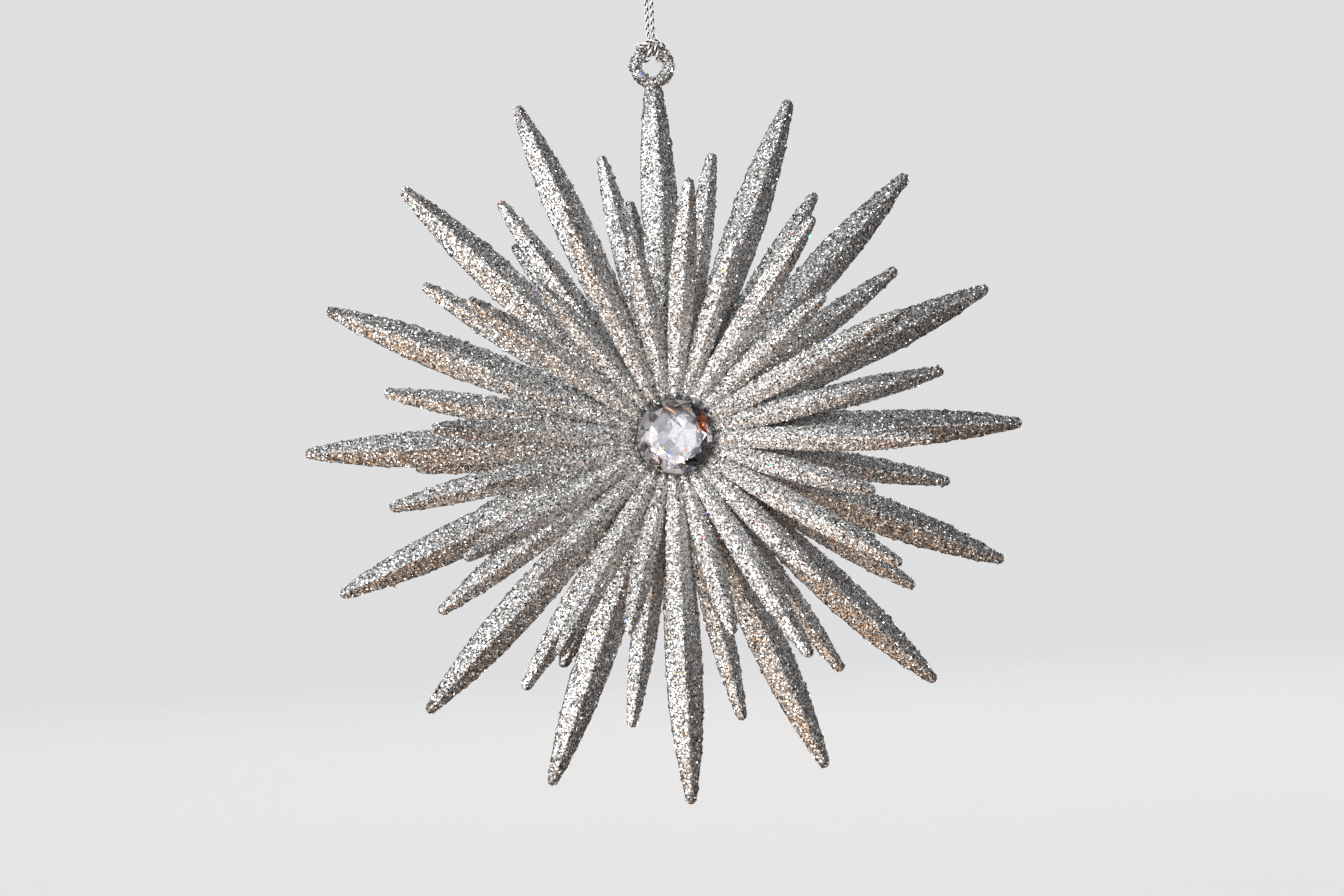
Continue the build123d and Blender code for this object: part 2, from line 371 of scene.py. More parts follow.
def coloured_flakes():
    """The few larger flakes that show a colour."""
    made = Nodes("coloured_glitter_flakes")
    chance = made.node("NewGeometry").outputs["Random Per Island"]
    stops = [(k / len(FLAKE_COLOURS), colour) for k, colour in enumerate(FLAKE_COLOURS)]
    made.surface("Base Color", made.ramp(chance, stops, "CONSTANT"))
    made.shader.inputs["Metallic"].default_value = 0.85
    made.shader.inputs["Roughness"].default_value = 0.35
    return made.material


GLASS_INDEX = 1.57
GLASS_CLOUD = 0.9 * MM
GLASS_TINT = [(0.35, (0.95, 0.95, 1.0)), (0.65, (1.0, 0.99, 1.0))]


def cut_glass():
    """The stone: clear glass with a breath of uneven tint and polish."""
    made = Nodes("clear_gem")
    cloud = made.node("TexNoise", noise_dimensions="3D")
    made.join(made.node("TexCoord").outputs["Object"], cloud.inputs["Vector"])
    cloud.inputs["Scale"].default_value = 1 / GLASS_CLOUD
    made.surface("Base Color", made.ramp(cloud.outputs[0], GLASS_TINT))
    made.surface("Roughness", made.remap(cloud.outputs[0], low=0.0, high=0.02))
    made.shader.inputs["IOR"].default_value = GLASS_INDEX
    made.shader.inputs["Transmission Weight"].default_value = 1.0
    return made.material


STREAK_SCALE = (250, 250, 1200)
STREAK_DIMMER = 0.82


def mirror_foil(name, colour, roughness):
    """Metallised film with faint streaks where it was rolled on."""
    made = Nodes(name)
    streaks = made.node("TexNoise", noise_dimensions="3D")
    stretch = made.node("Mapping")
    made.join(made.node("TexCoord").outputs["Object"], stretch.inputs["Vector"])
    stretch.inputs["Scale"].default_value = STREAK_SCALE
    made.join(stretch.outputs[0], streaks.inputs["Vector"])
    streaks.inputs["Detail"].default_value = 2
    dimmer = tuple(part * STREAK_DIMMER for part in colour)
    made.surface("Base Color", made.ramp(streaks.outputs[0], [(0.3, dimmer), (0.7, colour)]))
    made.shader.inputs["Roughness"].default_value = roughness
    made.shader.inputs["Metallic"].default_value = 1.0
    return made.material


GLUE_CLOUD = 0.5 * MM
GLUE_TINT = [(0.35, (0.72, 0.70, 0.62)), (0.65, (0.86, 0.85, 0.80))]


def clear_glue():
    """Set glue: faintly yellow, cloudy where it holds small bubbles."""
    made = Nodes("clear_glue")
    bubbles = made.node("TexNoise", noise_dimensions="3D")
    made.join(made.node("TexCoord").outputs["Object"], bubbles.inputs["Vector"])
    bubbles.inputs["Scale"].default_value = 1 / GLUE_CLOUD
    bubbles.inputs["Detail"].default_value = 3
    made.surface("Base Color", made.ramp(bubbles.outputs[0], GLUE_TINT))
    made.surface("Roughness", made.remap(bubbles.outputs[0], low=0.15, high=0.35))
    return made.material


FILAMENTS = 5.0  # round a ply
FILAMENT_SLANT = 1.6
FILAMENT_TINT = [(0.0, (0.90, 0.89, 0.87)), (0.25, (1.0, 1.0, 1.0))]
PLY_GROOVE_SHADE = greys((0.18, 0.004), (0.23, 0.20), (0.28, 1.0))  # painted shade: dark where a ply lies against the other


def metallic_cord():
    """Metallised film wound round a core: fine slanting filaments, and painted shade where the plies
    meet.
    """
    made = Nodes("metallic_cord")
    split = made.node("SeparateXYZ")
    made.join(made.node("UVMap", uv_map="ply").outputs[0], split.inputs[0])
    around, along = split.outputs[0], split.outputs[1]
    slant = made.math("ADD", around, made.math("MULTIPLY", along, FILAMENT_SLANT))
    height = made.math("PINGPONG", made.math("FRACT", made.math("MULTIPLY", slant, FILAMENTS)), 0.5)
    bump = made.node("Bump")
    bump.inputs["Distance"].default_value = 0.05 * MM
    bump.inputs["Strength"].default_value = 0.6
    made.join(height, bump.inputs["Height"])
    made.surface("Normal", bump.outputs[0])
    # painted shade on the inward side of each ply, where it lies against the other
    groove_shade = made.ramp(made.math("ABSOLUTE", made.math("SUBTRACT", around, 0.5)), PLY_GROOVE_SHADE)
    made.surface("Base Color", made.vector("MULTIPLY", made.ramp(height, FILAMENT_TINT), groove_shade))
    made.shader.inputs["Metallic"].default_value = 0.25
    made.shader.inputs["Roughness"].default_value = 0.2
    return made.material


# ---------------------------------------------------------------- the cord
def smooth_line(points, name):
    """The points of a NURBS spline that has these control points."""
    curve = bpy.data.curves.new(name, "CURVE")
    curve.dimensions = "3D"
    spline = curve.splines.new("NURBS")
    spline.points.add(len(points) - 1)
    for target, point in zip(spline.points, points):
        target.co = (*point, 1)
    spline.order_u, spline.use_endpoint_u, spline.resolution_u = 3, True, 16
    holder = bpy.data.objects.new(name, curve)
    mesh = bpy.data.meshes.new_from_object(holder)
    line = np.array([vertex.co for vertex in mesh.vertices], float)
    bpy.data.meshes.remove(mesh)
    bpy.data.objects.remove(holder)
    bpy.data.curves.remove(curve)
    return line


def evenly(line, step):
    """The same line with points a step apart."""
    along = np.concatenate([[0], np.cumsum(np.linalg.norm(np.diff(line, axis=0), axis=1))])
    stops = np.linspace(0, along[-1], max(2, int(along[-1] / step) + 1))
    return np.stack([np.interp(stops, along, line[:, k]) for k in range(3)], axis=1)


def carried_frames(line):
    """Two directions square to the line at each point, carried along it without twisting."""
    tangents = np.gradient(line, axis=0)
    tangents /= np.linalg.norm(tangents, axis=1)[:, None]
    side = np.cross(tangents[0], (0.3, 0.9, 0.1))
    sides = []
    for tangent in tangents:
        side = side - tangent * (side @ tangent)
        side = side / np.linalg.norm(side)
        sides.append(side)
    sides = np.array(sides)
    return sides, np.cross(tangents, sides)


PLY_SIDES = 10
PLY_STEP = 0.12 * MM
PLY_APART = 0.22 * MM
PLY_OUT = 0.1615 * MM  # half of a ply, squeezed against the other
PLY_ACROSS = 0.2125 * MM


def twisted(solid, line, plies=2):
    """Adds plies that wind round a line, and returns their (around, along) coordinates."""
    line = evenly(line, PLY_STEP)
    sides, others = carried_frames(line)
    turns = np.arange(len(line)) * PLY_STEP / PLY_PITCH
    spin = np.arange(PLY_SIDES) / PLY_SIDES
    out = PLY_OUT * np.cos(2 * math.pi * spin)[None, :, None]
    wide = PLY_ACROSS * np.sin(2 * math.pi * spin)[None, :, None]
    for ply in range(plies):
        angle = 2 * math.pi * (turns + ply / plies)
        away = np.cos(angle)[:, None] * sides + np.sin(angle)[:, None] * others
        across = -np.sin(angle)[:, None] * sides + np.cos(angle)[:, None] * others
        middle = line + away * PLY_APART
        rings = middle[:, None] + away[:, None] * out + across[:, None] * wide
        solid.add(rings, skin(len(line), PLY_SIDES))
    one_ply = np.stack([np.tile(spin, len(line)), np.repeat(turns, PLY_SIDES)], axis=1)
    return np.tile(one_ply, (plies, 1))


def lay_ply_map(piece, coordinates):
    """Writes each point's (around, along) coordinates where the cord's material reads them."""
    layer = piece.data.uv_layers.new(name="ply")
    corners = np.zeros(len(piece.data.loops), int)
    piece.data.loops.foreach_get("vertex_index", corners)
    layer.data.foreach_set("uv", coordinates[corners].astype(np.float32).ravel())


def make_cord(material):
    """One strand: down the left leg, through the hitch, up the right leg, and round the loop."""
    left = [Vector(point) * MM for point in LEG_POINTS]
    hitch = [Vector((x, y, z)) * MM + Vector((0, 0, EYE_TOP)) for x, y, z in HITCH_POINTS]
    right = [Vector((-x, y, z)) for x, y, z in reversed(left)]
    loop = [Vector(point) * MM for point in LOOP_POINTS]
    line = smooth_line(left + hitch + right + loop, "cord_route")
    solid = Solid()
    coordinates = twisted(solid, line)
    cord = solid.piece("twisted_cord", [material])
    lay_ply_map(cord, coordinates)
    return cord, line


KNOT_WRAPS = 2.5
KNOT_RADIUS = 1.12 * MM
KNOT_SWELL = 0.14 * MM
KNOT_TALL = 1.9 * MM
KNOT_STEPS = 120
TAIL = np.array([1.98, 0.315, 0.99]) * MM


def make_knot(material):
    """The knot: the doubled strand wound round itself, with two cut tails."""
    middle = (KNOT_TOP + KNOT_BOTTOM) / 2
    solid = Solid()
    coordinates = []
    for start in (0.0, 0.5):
        steps = np.linspace(0, 1, KNOT_STEPS)
        angle = 2 * math.pi * (KNOT_WRAPS * steps + start)
        swell = KNOT_RADIUS + KNOT_SWELL * np.sin(math.pi * steps)
        height = middle + (steps - 0.5) * KNOT_TALL
        wind = np.stack([np.cos(angle) * swell, np.sin(angle) * swell, height], axis=1)
        side = math.cos(2 * math.pi * start)
        inward = np.array([[LEG_APART * side, 0, KNOT_BOTTOM + 0.1 * MM]])
        outward = np.array([wind[-1] + (wind[-1] - wind[-2]) * 6 + (0, 0, 0.25 * MM)])
        tail = outward + TAIL * (side, side, 1)
        route = np.concatenate([inward, wind[4:-4], outward, tail])
        coordinates.append(twisted(solid, smooth_line(route, "knot_route")))
    knot = solid.piece("knot_of_cord", [material])
    lay_ply_map(knot, np.concatenate(coordinates))
    return knot


# ---------------------------------------------------------------- the glittered moulding
AROUND = 24
RINGS = 96
TIP_RINGS = 8
TIP_ROUND = 0.8 * MM
CLUMPS = 0.15  # the share of points where the coat is thick


def width_at(share, root_share, widest, tip):
    """A ray's width along its length: swelling from root to widest, and narrowing to the tip."""
    narrow = np.where(share < WIDEST_AT, ROOT_WIDTH, tip)
    away = np.where(
        share < WIDEST_AT,
        (WIDEST_AT - share) / (WIDEST_AT - root_share),
        (share - WIDEST_AT) / (1 - WIDEST_AT),
    )
    return narrow + (widest - narrow) * (1 - away**2)


def rough_coat(shape):
    """How far the grainy coat stands out, from place to place."""
    grain = RNG.normal(0, 0.045, shape)
    clump = np.where(RNG.random(shape) < CLUMPS, RNG.uniform(0.07, 0.26, shape), 0)
    return (grain + clump) * MM


def spindle(reach, widest, rise=0.0, tip=TIP_WIDTH):
    """One ray along its own outward axis, as rings of (side, outward, up) points."""
    slope = math.radians(rise)
    length = reach / math.cos(slope)
    round_off = TIP_ROUND / length
    shares = np.concatenate(
        [
            np.linspace(ROOT_RADIUS / length, 1 - round_off, RINGS),
            1 - round_off * (1 - np.sin(np.linspace(0.15, 1, TIP_RINGS) * math.pi / 2)),
        ]
    )
    width = width_at(shares, ROOT_RADIUS / length, widest, tip) + 2 * COAT
    past = np.clip((shares - 1 + round_off) / round_off, 0, 1)
    width *= np.sqrt(np.clip(1 - past**2, 0.01, 1))
    angle = 2 * math.pi * np.arange(AROUND) / AROUND
    power = 2 / RIDGE_POWER
    across = np.sign(np.cos(angle)) * np.abs(np.cos(angle)) ** power
    above = np.sign(np.sin(angle)) * np.abs(np.sin(angle)) ** power
    half = width[:, None] / 2
    lumps = 1 + rough_coat((len(shares), AROUND)) / np.maximum(half, 0.5 * MM)
    side = half * across * lumps
    lift = half * THICKNESS * above * lumps
    out = np.repeat((shares * length)[:, None], AROUND, axis=1)
    outward = out * math.cos(slope) - lift * math.sin(slope)
    up = out * math.sin(slope) + lift * math.cos(slope)
    return np.stack([side, outward, up], axis=2).reshape(-1, 3)


def on_face(points, front, turn):
    """(side, outward, up) points on one face, turned round the centre, in the row frame."""
    angle = math.radians(turn)
    side, outward, up = points.T
    x = side * math.cos(angle) - outward * math.sin(angle)
    z = side * math.sin(angle) + outward * math.cos(angle)
    if front:
        return np.stack([x, -up, z + CENTRE.z], axis=1)
    return np.stack([-x, up, z + CENTRE.z], axis=1)


SCALLOP_DEEP = 0.7 * MM
SCALLOP_SHALLOW = 0.4 * MM
SCALLOP_DROP = 1.6  # how far a scallop sinks for each millimetre that it cuts in


def lathe(profile, front, segments=240):
    """A turned shape about the star's axis, from (radius, height, scallop between rays) rings."""
    angle = 2 * math.pi * np.arange(segments) / segments
    between = (1 - np.cos(2 * BURST_RAYS * (angle - math.radians(90 - BURST_TURN)))) / 2
    rings = []
    for radius, height, scallop in profile:
        rough = rough_coat(segments) * (scallop > 0)
        out = radius - scallop * between + rough
        up = height - SCALLOP_DROP * scallop * between + rough
        rings.append(np.stack([out * np.cos(angle), out * np.sin(angle), up], axis=1))
    return on_face(np.concatenate(rings), front, 0), skin(len(profile), segments)


def add_ray(solid, turn, front, *shape, **more):
    """Adds a spindle of this shape, turned this many degrees from straight up."""
    solid.add(on_face(spindle(*shape, **more), front, turn), skin(RINGS + TIP_RINGS, AROUND))


def make_flat_star(materials):
    """The flat star: long rays, one of them with the eye, middling rays between them, and the hub."""
    solid = Solid()
    pitch = 360 / FLAT_RAYS
    for index in range(1, FLAT_RAYS):
        add_ray(solid, index * pitch, True, STAR_RADIUS, LONG_WIDTH)
    add_ray(solid, 0, True, EYE_HEIGHT - EYE_RADIUS, LONG_WIDTH, tip=COATED_NECK)
    for index in range(FLAT_RAYS):
        add_ray(solid, (index + 0.5) * pitch, True, MID_REACH, MID_WIDTH)
    hub = [
        (AXIS_HOLE, -HUB_HALF, 0),
        (HUB_RADIUS, -HUB_HALF, 0),
        (HUB_RADIUS, HUB_HALF, 0),
        (AXIS_HOLE, HUB_HALF, 0),
    ]
    solid.add(*lathe(hub, True))
    add_eye(solid)
    return solid.piece("glittered_star", materials)


def add_eye(solid):
    """The hanging eye: a ring with the same lumpy coat."""
    turns, sides = 72, 20
    rise = Vector((0, 0, EYE_HEIGHT))
    points = []
    for step in range(turns):
        angle = 2 * math.pi * step / turns
        spoke = Vector((math.cos(angle), 0, math.sin(angle)))
        for k in range(sides):
            spin = 2 * math.pi * k / sides
            wire = COATED_EYE_WIRE + float(rough_coat(()))
            out, forward = COATED_EYE_RADIUS + wire * math.cos(spin), wire * math.sin(spin)
            points.append(tuple(spoke * out + Vector((0, -forward, 0)) + CENTRE + rise))
    faces = [
        (a * sides + k, a * sides + (k + 1) % sides, b * sides + (k + 1) % sides, b * sides + k)
        for a in range(turns)
        for b in [(a + 1) % turns]
        for k in range(sides)
    ]
    solid.add(points, faces)


def make_burst(name, front, materials):
    """A burst: rays that rise towards one face, from a hub with a round seat for the stone."""
    solid = Solid()
    pitch = 360 / BURST_RAYS
    for index in range(BURST_RAYS):
        turn = index * pitch - BURST_TURN
        add_ray(solid, turn, front, BURST_RADIUS, BURST_LONG_WIDTH, BURST_LONG_RISE)
    for index in range(BURST_RAYS):
        turn = (index - 0.5) * pitch - BURST_TURN
        add_ray(solid, turn, front, BURST_SHORT_REACH, BURST_SHORT_WIDTH, BURST_SHORT_RISE)
    foot, face, rim = BURST_HUB_FOOT, BURST_HUB_FACE, BURST_HUB_RADIUS
    seat, floor = GEM_RADIUS + SEAT_GAP, FOIL_FOOT - 0.1 * MM
    deep, shallow = SCALLOP_DEEP, SCALLOP_SHALLOW
    profile = [
        (AXIS_HOLE, foot, 0),
        (rim, foot, 0),
        (rim, face - 1.2 * MM, deep),
        (rim, face - 0.45 * MM, deep),
        (rim - 0.15 * MM, face - 0.15 * MM, deep),
        (rim - 0.45 * MM, face, shallow),
        (seat, face - 0.05 * MM, shallow),
        (seat, floor, 0),
        (AXIS_HOLE, floor, 0),
    ]
    solid.add(*lathe(profile, front))
    return solid.piece(name, materials)


# ---------------------------------------------------------------- the foil behind a stone
FOIL_RELIEF = 0.035 * MM
FOIL_EDGE = 5.95  # from its middle, in millimetres, as are the foil's other places
FOIL_SHOULDER = 3.2  # where the foil starts to fall away under the crown
FOIL_FALL = 0.125  # how much it falls for each millimetre outwards
# each ring of the foil's points: how far out it is, how many it has, and the turn of the first
FOIL_RINGS = [
    (0.0, 1, 0.0), (1.3, 8, 0.3), (2.5, 12, 0.1), (3.7, 16, 0.6), (4.9, 20, 0.2), (FOIL_EDGE, 32, 0.0),
]
# bright is the foil's own silver; the other colours are painted on the foil as painted reflections:
# lighter where the stone mirrors a lamp, dark and smoke where it mirrors the dim room, cream and amber
# where it mirrors warm light. Orange, yellow and blue are painted fire
FOIL_SILVER_AND_PAINTED_REFLECTIONS = {
    "bright": (1.0, 1.0, 1.0),
    "white": (0.74, 0.73, 0.75),
    "milk": (0.62, 0.61, 0.64),
    "pearl": (0.52, 0.51, 0.53),
    "cream": (0.50, 0.46, 0.40),
    "light": (0.38, 0.375, 0.385),
    "smoke": (0.05, 0.047, 0.05),
    "dark": (0.02, 0.018, 0.02),
    "amber": (0.30, 0.055, 0.02),
    "orange": (1.0, 0.30, 0.04),
    "yellow": (1.0, 0.70, 0.12),
    "blue": (0.20, 0.35, 0.95),
}
BRIGHT_ROUGHNESS, FOIL_ROUGHNESS = 0.45, 0.15
BRIGHT_PAINTED_DULLER = 0.45  # the share of bright facets painted duller after all, as painted shade
# where each painted reflection, or the plain bright silver, lies on the foil: right of and above its
# middle
FOIL_PAINTED_REFLECTION_PATCHES = [
    ("white", 1.4, 1.2), ("white", 1.6, -0.7), ("white", 0.5, 2.3), ("white", 2.9, 0.3),
    ("white", 2.1, 2.4), ("white", 0.6, -0.9), ("white", 2.6, -2.0), ("white", 1.3, -2.0),
    ("light", -0.9, 1.6), ("pearl", -2.2, 0.3), ("light", -1.7, -1.6), ("pearl", -0.8, -2.9),
    ("light", -2.5, 2.2), ("bright", -4.6, 0.2), ("bright", -4.4, -1.8), ("bright", -3.8, 3.4),
    ("bright", -1.2, 4.3), ("bright", 0.9, 4.6), ("light", -0.1, 3.3), ("dark", 3.3, 4.2),
    ("amber", 4.2, 2.2), ("bright", 5.4, 0.3), ("smoke", 4.5, -1.6), ("dark", 2.3, -3.3),
    ("cream", 0.7, -3.6), ("bright", 1.1, -5.0), ("bright", -1.9, -4.7), ("bright", -3.6, -3.3),
    ("smoke", 3.9, -3.6), ("bright", -5.2, 2.0),
]
# the outline of the painted highlight: a group of facets painted white where the stone mirrors the lamp
PAINTED_HIGHLIGHT_OUTLINE = [
    (-2.2, 5.1), (-0.6, 4.1), (1.8, 5.2), (2.6, 3.9), (3.1, 2.8), (3.0, 1.0), (4.1, 0.0), (3.4, -0.9),
    (3.7, -2.3), (1.9, -2.8), (1.1, -3.6), (0.7, -1.9), (-0.3, -1.6), (-0.4, -0.2), (-1.5, 0.0),
    (-0.6, 1.5), (-0.9, 3.0),
]
PAINTED_HIGHLIGHT_MIDDLE = (1.2, 1.2)
PAINTED_HIGHLIGHT_LEVEL = 4.5  # the group lies level this far out, and falls away beyond
# painted fire: coloured chips on the foil that stand in for the stone's coloured glints
PAINTED_FIRE = ("orange", "yellow", "blue")
PAINTED_FIRE_PLACES = [
    (-1.9, -0.1), (-3.6, 0.9), (3.0, -2.6), (-3.9, -1.3), (0.7, -4.6), (2.2, -4.9), (4.0, 1.7),
    (-2.4, -1.8), (-1.2, -2.6), (1.3, -2.3), (-2.7, 3.2), (0.2, 4.3),
]


def dome_height(out):
    """How high the foil stands, this many millimetres from its middle."""
    edge = GEM_FOOT + 1.2 * FOIL_RELIEF
    return edge + (FOIL_EDGE - max(out, FOIL_SHOULDER)) * FOIL_FALL * MM


def add_facets(solid, front):
    """Covers the foil's shallow dome with small flat facets, each in its patch's colour: plain bright
    silver, or a painted reflection.
    """
    shades = list(FOIL_SILVER_AND_PAINTED_REFLECTIONS)
    points = []
    for radius, count, start in FOIL_RINGS:
        for k in range(count):
            angle = 2 * math.pi * (k + start + RNG.uniform(-0.2, 0.2)) / count
            reach = (radius + (RNG.uniform(-0.25, 0.25) if 0 < radius < FOIL_EDGE else 0)) * MM
            lift = dome_height(reach / MM) + RNG.uniform(-1, 1) * FOIL_RELIEF
            points.append((reach * math.cos(angle), reach * math.sin(angle), lift))
    points = np.array(points)
    flat = [Vector(point[:2]) for point in points]
    for triangle in delaunay_2d_cdt(flat, [], [], 0, 1e-9)[2]:
        corners = points[list(triangle)]
        x, z, _ = corners.mean(axis=0) / MM
        # each facet takes its patch's colour: plain silver or a painted reflection
        shade = min(FOIL_PAINTED_REFLECTION_PATCHES, key=lambda patch: math.hypot(patch[1] - x, patch[2] - z))[0]
        if shade == "bright" and RNG.random() < BRIGHT_PAINTED_DULLER:
            shade = RNG.choice(["white", "pearl", "light"])
        solid.add(on_face(corners, front, 0), [(0, 1, 2)], shades.index(shade))


def add_painted_highlight(solid, front):
    """The painted highlight: a group of facets painted white where the stone mirrors the lamp, as a fan
    about its middle.
    """
    shades = list(FOIL_SILVER_AND_PAINTED_REFLECTIONS)
    level = dome_height(0) + 1.5 * FOIL_RELIEF
    star = []
    for x, z in (PAINTED_HIGHLIGHT_MIDDLE, *PAINTED_HIGHLIGHT_OUTLINE):
        out = math.hypot(x, z)
        lift = level if out < PAINTED_HIGHLIGHT_LEVEL else dome_height(out) + 3.7 * FOIL_RELIEF
        star.append((x * MM, z * MM, lift))
    for k in range(1, len(star)):
        corners = np.array([star[0], star[k % len(PAINTED_HIGHLIGHT_OUTLINE) + 1], star[k]])
        # painted highlight: white and milk-white facets
        shade = RNG.choice(["white", "white", "milk"])
        solid.add(on_face(corners, front, 0), [(0, 1, 2)], shades.index(shade))


def add_painted_fire(solid, front):
    """Small coloured chips painted on the foil: painted fire, in place of the stone's coloured glints."""
    shades = list(FOIL_SILVER_AND_PAINTED_REFLECTIONS)
    lift = dome_height(0) + 2.5 * FOIL_RELIEF
    for k, (x, z) in enumerate(PAINTED_FIRE_PLACES):
        middle = np.array([x * MM, z * MM, lift])
        turn, half = RNG.uniform(0, math.pi), RNG.uniform(0.15, 0.34) * MM
        chip = [
            middle + half * np.array([math.cos(turn + corner), math.sin(turn + corner) * 0.8, 0])
            for corner in (0, 1.7, 3.1, 4.7)
        ]
        solid.add(on_face(np.array(chip), front, 0), [(0, 1, 2, 3)], shades.index(PAINTED_FIRE[k % len(PAINTED_FIRE)]))


def make_foil(name, front, materials):
    """The mirror foil, embossed in small flat facets so that the stone sparkles, and painted with
    reflections, a highlight and fire.
    """
    solid = Solid()
    add_facets(solid, front)
    add_painted_highlight(solid, front)
    add_painted_fire(solid, front)
    return solid.piece(name, materials, smooth=False)


# ---------------------------------------------------------------- loose grains of glitter
def surface_samples(piece, count, keep):
    """Random places on a piece's surface and the surface's direction there."""
    mesh = piece.data
    mesh.calc_loop_triangles()
    points = np.zeros(len(mesh.vertices) * 3)
    mesh.vertices.foreach_get("co", points)
    corners = np.zeros(len(mesh.loop_triangles) * 3, int)
    mesh.loop_triangles.foreach_get("vertices", corners)
    a, b, c = (points.reshape(-1, 3)[corners.reshape(-1, 3)[:, k]] for k in range(3))
    normals = np.cross(b - a, c - a)
    size = np.linalg.norm(normals, axis=1)
    chosen = RNG.choice(len(size), count, p=size / size.sum())
    u, v = RNG.random((2, count, 1))
    u, v = np.where(u + v > 1, 1 - u, u), np.where(u + v > 1, 1 - v, v)
    places = a[chosen] + u * (b - a)[chosen] + v * (c - a)[chosen]
    normals = normals[chosen] / size[chosen][:, None]
    kept = keep(places, normals)
    return places[kept], normals[kept]


GRAIN_TILT, HEXAGON_TILT = 0.45, 0.3
GRAIN_LIFT = (-0.02, 0.20)  # from the coat's surface to a grain's foot, in millimetres
PROUD_SHARE = 0.3  # of the grains stand up, and are this much larger
PROUD_SIZE = 1.25
HEXAGON_HALF = 0.08  # a hexagon's half thickness over its radius


def scatter(name, piece, count, material, keep, hexagon=False, sizes=(0.09, 0.21)):
    """Flakes as small closed chips, tilted every way and partly sunk in the coat.

    Hexagons are thin double pyramids, and the others are uneven three-sided ones. Sizes are their
    radii, in millimetres.
    """
    places, normals = surface_samples(piece, count, keep)
    total = len(places)
    corners = 6 if hexagon else 3
    tilt = normals + RNG.normal(0, HEXAGON_TILT if hexagon else GRAIN_TILT, (total, 3))
    tilt /= np.linalg.norm(tilt, axis=1)[:, None]
    side = np.cross(tilt, RNG.normal(0, 1, (total, 3)))
    side /= np.linalg.norm(side, axis=1)[:, None]
    other = np.cross(tilt, side)
    proud = RNG.random((total, 1)) < PROUD_SHARE
    radius = RNG.uniform(*sizes, (total, 1)) * MM * np.where(proud, PROUD_SIZE, 1)
    lift = places + normals * RNG.uniform(*GRAIN_LIFT, (total, 1)) * MM
    rim = []
    for k in range(corners):
        angle = 2 * math.pi * k / corners + (0 if hexagon else RNG.uniform(-0.4, 0.4, (total, 1)))
        rim.append(lift + (side * np.cos(angle) + other * np.sin(angle)) * radius)
    upright = proud * RNG.uniform(0.5, 1.6, (total, 1))
    height = HEXAGON_HALF if hexagon else RNG.uniform(0.45, 1.1, (total, 1)) + upright
    rim.append(lift + tilt * radius * height)
    turn = [(k, (k + 1) % corners) for k in range(corners)]
    if hexagon:
        rim.append(lift - tilt * radius * HEXAGON_HALF)
        chip = [(a, b, corners) for a, b in turn] + [(b, a, corners + 1) for a, b in turn]
    else:
        chip = [(a, b, corners) for a, b in turn] + [(2, 1, 0)]
    points = np.stack(rim, axis=1).reshape(-1, 3)
    first = np.arange(total)[:, None] * len(rim)
    faces = np.concatenate([first + np.array(face) for face in chip])
    mesh = bpy.data.meshes.new(name)
    mesh.vertices.add(len(points))
    mesh.vertices.foreach_set("co", points.ravel())
    mesh.loops.add(faces.size)
    mesh.loops.foreach_set("vertex_index", faces.ravel())
    mesh.polygons.add(len(faces))
    mesh.polygons.foreach_set("loop_start", np.arange(len(faces)) * 3)
    mesh.polygons.foreach_set("use_smooth", [False] * len(faces))
    mesh.update(calc_edges=True)
    mesh.materials.append(material)
    made = bpy.data.objects.new(name, mesh)
    bpy.context.scene.collection.objects.link(made)
    return made


def outside_seat(places, normals):
    """Leaves out what the stone hides, and an uneven bare margin round it."""
    side, up = places[:, 0], places[:, 2] - CENTRE.z
    uneven = 1 + np.sin(3 * np.arctan2(up, side) + 0.6)
    return np.hypot(side, up) > GEM_RADIUS + (0.35 + 0.35 * uneven) * MM


def on_eye(places, normals):
    """The eye alone, which has more and larger grains than the rays."""
    return places[:, 2] > CENTRE.z + EYE_HEIGHT - EYE_RADIUS - EYE_WIRE


def outside_hub(places, normals):
    """Leaves out what the bursts hide."""
    away = np.hypot(places[:, 0], places[:, 2] - CENTRE.z)
    return away > HUB_RADIUS + 4 * MM


def on_edges(places, normals):
    """The sides of the rays, where the largest grains catch."""
    edge = (np.abs(places[:, 1]) < 0.4 * MM) | (np.abs(normals[:, 1]) < 0.65)
    return outside_hub(places, normals) & edge


# ---------------------------------------------------------------- stage
FLOOR_DROP = 35 * MM  # below the star's lowest tip
FLOOR_REACH = 6.0
FLOOR_FADE = (0.5, 2.2)  # how far out the floor starts to fade, and is gone
FLOOR_LIGHT = 0.42
BACKDROP = (0.74, 0.74, 0.75)


def make_floor():
    """A plain pale floor that fades into the backdrop far away."""
    made = Nodes("pale_floor")
    made.shader.inputs["Base Color"].default_value = (0.93, 0.92, 0.90, 1)
    made.shader.inputs["Roughness"].default_value = 0.7
    away = made.distance(made.node("TexCoord").outputs["Object"], (0, 0, 0))
    mix = made.node("MixShader")
    made.join(made.remap(away, *FLOOR_FADE, smooth=True), mix.inputs[0])
    made.join(made.shader.outputs[0], mix.inputs[1])
    made.join(made.node("BsdfTransparent").outputs[0], mix.inputs[2])
    made.join(mix.outputs[0], made.tree.nodes["Material Output"].inputs["Surface"])
    segments = 96
    angle = 2 * math.pi * np.arange(segments) / segments
    height = np.full(segments, cad_low.z - FLOOR_DROP)
    solid = Solid()
    rim = np.stack([FLOOR_REACH * np.cos(angle), FLOOR_REACH * np.sin(angle), height], axis=1)
    solid.add(rim, [tuple(range(segments))])
    floor = solid.piece("floor", [made.material])
    floor.visible_shadow = floor.visible_glossy = floor.visible_transmission = False
    floor.visible_diffuse = False
    return floor


WHITE, WARM = (1.0, 0.985, 0.96), (1.0, 0.60, 0.34)
ROOM = (0.022, 0.021, 0.022)  # what the flakes and the stone mirror where there is no lamp
